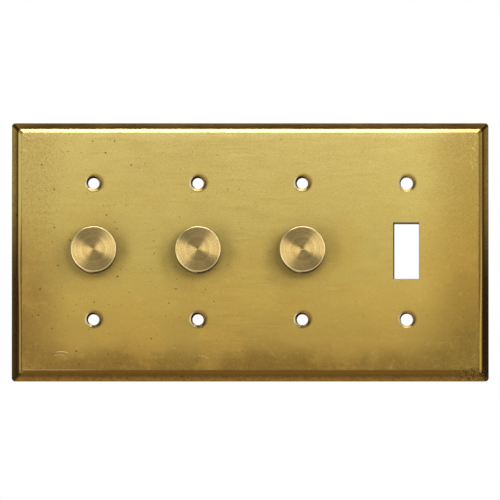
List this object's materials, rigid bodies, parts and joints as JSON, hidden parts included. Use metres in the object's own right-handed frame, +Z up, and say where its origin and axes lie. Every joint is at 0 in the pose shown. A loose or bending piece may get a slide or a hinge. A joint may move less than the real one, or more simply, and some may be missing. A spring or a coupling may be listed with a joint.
{
  "type": "four-gang dimmer switch",
  "caption": "Wide bevelled brass wall plate with round push-and-turn dimmer knobs in a row and an upright opening for a toggle lever, dimmer modules fixed behind it",
  "frame": {"origin": "centre of the plate's flat rear rim, on the wall surface", "axes": "X to the right along the plate, Y into the wall, Z up; the face looks along -Y"},
  "size_m": [0.2106, 0.0459, 0.1142],
  "materials": {
    "aged_brass": "cast brass, rubbed smooth, left raw and darkened by age",
    "turned_brass": "fine concentric turning, unlacquered",
    "fitting_brass": "plain turned brass",
    "bright_steel": "drawn steel bar",
    "dark_steel": "black oxide",
    "plated_steel": "zinc plated",
    "aluminium": "mill finish sheet",
    "housing_plastic": "black moulded thermoset, fine texture",
    "inner_plastic": "natural moulded plastic",
    "phenolic": "paper phenolic",
    "board": "pressed paper board",
    "enamelled_copper": "varnished winding",
    "capacitor_plastic": "smooth moulded box",
    "package_plastic": "black epoxy package",
    "terminal_plastic": "black moulding"
  },
  "bodies": {
    "root": {"wall_plate": "aged_brass", "lock_washers": "plated_steel", "mounting_nuts": "fitting_brass", "housing_screws": "plated_steel", "terminal_screws": "plated_steel", "heat_sink_plate_1": "aluminium", "bush_1": "fitting_brass", "pot_case_1": "plated_steel", "resistance_track_1": "phenolic", "switch_body_1": "inner_plastic", "switch_spring_1": "plated_steel", "circuit_board_1": "board", "choke_1": "enamelled_copper", "filter_capacitor_1": "capacitor_plastic", "triac_1": "package_plastic", "terminal_block_1": "terminal_plastic", "housing_1": "housing_plastic", "heat_sink_plate_2": "aluminium", "bush_2": "fitting_brass", "pot_case_2": "plated_steel", "resistance_track_2": "phenolic", "switch_body_2": "inner_plastic", "switch_spring_2": "plated_steel", "circuit_board_2": "board", "choke_2": "enamelled_copper", "filter_capacitor_2": "capacitor_plastic", "triac_2": "package_plastic", "terminal_block_2": "terminal_plastic", "housing_2": "housing_plastic", "heat_sink_plate_3": "aluminium", "bush_3": "fitting_brass", "pot_case_3": "plated_steel", "resistance_track_3": "phenolic", "switch_body_3": "inner_plastic", "switch_spring_3": "plated_steel", "circuit_board_3": "board", "choke_3": "enamelled_copper", "filter_capacitor_3": "capacitor_plastic", "triac_3": "package_plastic", "terminal_block_3": "terminal_plastic", "housing_3": "housing_plastic"},
    "plunger_1": {"switch_plunger_1": "inner_plastic"},
    "knob_1": {"knob_1": "turned_brass", "set_screw_1": "dark_steel", "shaft_1": "bright_steel", "retaining_clip_1": "dark_steel"},
    "wiper_1": {"wiper_rotor_1": "inner_plastic"},
    "plunger_2": {"switch_plunger_2": "inner_plastic"},
    "knob_2": {"knob_2": "turned_brass", "set_screw_2": "dark_steel", "shaft_2": "bright_steel", "retaining_clip_2": "dark_steel"},
    "wiper_2": {"wiper_rotor_2": "inner_plastic"},
    "plunger_3": {"switch_plunger_3": "inner_plastic"},
    "knob_3": {"knob_3": "turned_brass", "set_screw_3": "dark_steel", "shaft_3": "bright_steel", "retaining_clip_3": "dark_steel"},
    "wiper_3": {"wiper_rotor_3": "inner_plastic"}
  },
  "joints": [
    {"name": "push_1", "type": "slide", "parent": "root", "child": "plunger_1", "axis": [0, 1, 0], "range_m": [0, 0.0015], "stiffness_N_per_m": 1500, "springref_m": -0.001, "deforming": ["switch_spring_1"]},
    {"name": "turn_1", "type": "hinge", "parent": "plunger_1", "child": "knob_1", "pos_m": [-0.06906, 0, 0], "axis": [0, 1, 0], "range_deg": [-135, 135]},
    {"name": "wiper_turn_1", "type": "hinge", "parent": "root", "child": "wiper_1", "pos_m": [-0.06906, 0, 0], "axis": [0, 1, 0], "range_deg": [-135, 135]},
    {"name": "push_2", "type": "slide", "parent": "root", "child": "plunger_2", "axis": [0, 1, 0], "range_m": [0, 0.0015], "stiffness_N_per_m": 1500, "springref_m": -0.001, "deforming": ["switch_spring_2"]},
    {"name": "turn_2", "type": "hinge", "parent": "plunger_2", "child": "knob_2", "pos_m": [-0.02302, 0, 0], "axis": [0, 1, 0], "range_deg": [-135, 135]},
    {"name": "wiper_turn_2", "type": "hinge", "parent": "root", "child": "wiper_2", "pos_m": [-0.02302, 0, 0], "axis": [0, 1, 0], "range_deg": [-135, 135]},
    {"name": "push_3", "type": "slide", "parent": "root", "child": "plunger_3", "axis": [0, 1, 0], "range_m": [0, 0.0015], "stiffness_N_per_m": 1500, "springref_m": -0.001, "deforming": ["switch_spring_3"]},
    {"name": "turn_3", "type": "hinge", "parent": "plunger_3", "child": "knob_3", "pos_m": [0.02302, 0, 0], "axis": [0, 1, 0], "range_deg": [-135, 135]},
    {"name": "wiper_turn_3", "type": "hinge", "parent": "root", "child": "wiper_3", "pos_m": [0.02302, 0, 0], "axis": [0, 1, 0], "range_deg": [-135, 135]}
  ],
  "couplings": [
    {"joint": "wiper_turn_1", "follows": "turn_1", "ratio": 1},
    {"joint": "wiper_turn_2", "follows": "turn_2", "ratio": 1},
    {"joint": "wiper_turn_3", "follows": "turn_3", "ratio": 1}
  ]
}
